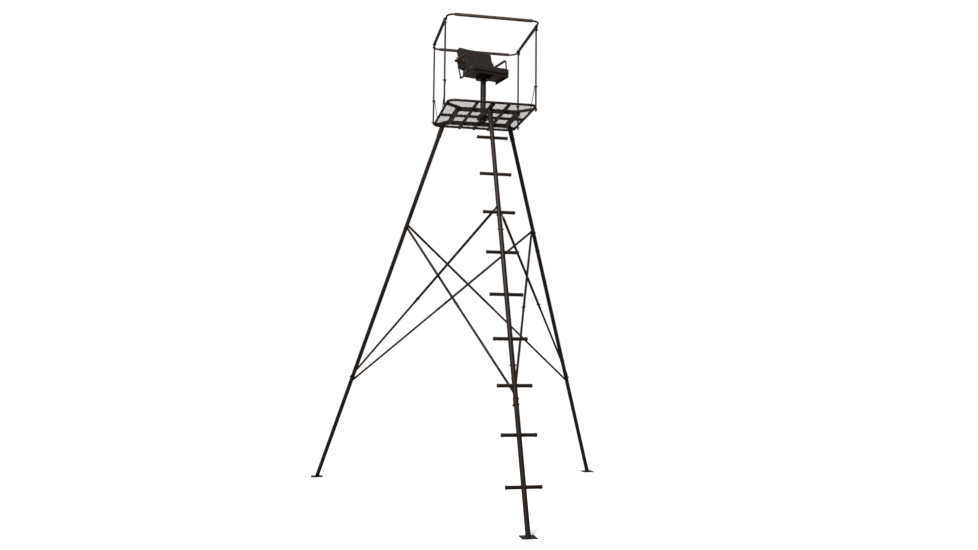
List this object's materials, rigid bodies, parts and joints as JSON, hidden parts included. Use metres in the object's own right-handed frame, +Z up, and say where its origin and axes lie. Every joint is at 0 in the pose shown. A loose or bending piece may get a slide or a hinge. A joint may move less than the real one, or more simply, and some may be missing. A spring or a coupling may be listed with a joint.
{
  "type": "tripod hunting stand",
  "caption": "Tall three-legged field stand with a ladder leg, an open mesh deck, a padded guard rail and a swivelling padded seat with a folding back and armrests.",
  "frame": {"origin": "on the ground, at the middle of the footprint of the three foot plates", "axes": "+Z up, +Y from the ladder leg towards the rear legs, +X to the right when facing the ladder"},
  "size_m": [3.392, 3.398, 4.866],
  "materials": {
    "coated_steel": "dark brown powder coat",
    "deck_mesh": "dark brown powder coat on expanded steel",
    "bolt_steel": "blackened hex hardware",
    "end_cap": "moulded black plastic",
    "foam_sleeve": "closed-cell foam, matt",
    "seat_fabric": "woven polyester over foam"
  },
  "bodies": {
    "frame": {"brace_left_face_a_lower": "coated_steel", "brace_left_face_a_upper": "coated_steel", "brace_left_face_b_lower": "coated_steel", "brace_left_face_b_upper": "coated_steel", "brace_rear_face_a_lower": "coated_steel", "brace_rear_face_a_upper": "coated_steel", "brace_rear_face_b_lower": "coated_steel", "brace_rear_face_b_upper": "coated_steel", "brace_right_face_a_lower": "coated_steel", "brace_right_face_a_upper": "coated_steel", "brace_right_face_b_lower": "coated_steel", "brace_right_face_b_upper": "coated_steel", "deck_bars": "coated_steel", "deck_hub": "coated_steel", "deck_mesh": "deck_mesh", "deck_ring": "coated_steel", "deck_struts": "coated_steel", "foot_plate_front": "coated_steel", "foot_plate_left": "coated_steel", "foot_plate_right": "coated_steel", "frame_bolts": "bolt_steel", "front_leg_lower": "coated_steel", "front_leg_middle": "coated_steel", "front_leg_upper": "coated_steel", "ladder_rungs": "coated_steel", "left_leg_lower": "coated_steel", "left_leg_middle": "coated_steel", "left_leg_upper": "coated_steel", "left_rail": "coated_steel", "left_rail_foam": "foam_sleeve", "leg_sleeves": "coated_steel", "platform_rim": "coated_steel", "post_braces": "coated_steel", "post_front_left": "coated_steel", "post_front_right": "coated_steel", "post_rear_left": "coated_steel", "post_rear_right": "coated_steel", "rail_bolts": "bolt_steel", "rear_rail": "coated_steel", "rear_rail_foam": "foam_sleeve", "right_leg_lower": "coated_steel", "right_leg_middle": "coated_steel", "right_leg_upper": "coated_steel", "right_rail": "coated_steel", "right_rail_foam": "foam_sleeve", "rung_caps": "end_cap", "seat_post": "coated_steel"},
    "front_bow": {"front_rail": "coated_steel", "front_rail_foam": "foam_sleeve"},
    "seat": {"turntable": "coated_steel", "seat_pan": "coated_steel", "seat_cushion": "seat_fabric", "seat_hinge_bolts": "bolt_steel"},
    "backrest": {"back_frame": "coated_steel", "back_cushion": "seat_fabric", "arm_hinge_bolts": "bolt_steel"},
    "armrest_left": {"arm_left": "coated_steel", "arm_foam_left": "foam_sleeve"},
    "armrest_right": {"arm_right": "coated_steel", "arm_foam_right": "foam_sleeve"}
  },
  "joints": [
    {"name": "seat_swivel", "type": "hinge", "parent": "frame", "child": "seat", "pos_m": [0, 0.285, 4.33], "axis": [0, 0, 1], "continuous": true},
    {"name": "backrest_fold", "type": "hinge", "parent": "seat", "child": "backrest", "pos_m": [-0.02795, 0.38932, 4.388], "axis": [0.9659, 0.2588, 0], "range_deg": [0, 52]},
    {"name": "armrest_left_flip", "type": "hinge", "parent": "backrest", "child": "armrest_left", "pos_m": [-0.27666, 0.40955, 4.59569], "axis": [-0.9659, -0.2588, 0], "range_deg": [0, 100]},
    {"name": "armrest_right_flip", "type": "hinge", "parent": "backrest", "child": "armrest_right", "pos_m": [0.17732, 0.53119, 4.59569], "axis": [-0.9659, -0.2588, 0], "range_deg": [0, 100]},
    {"name": "front_rail_lift", "type": "hinge", "parent": "frame", "child": "front_bow", "pos_m": [0, -0.087, 4.85], "axis": [-1, 0, 0], "range_deg": [0, 95]}
  ]
}
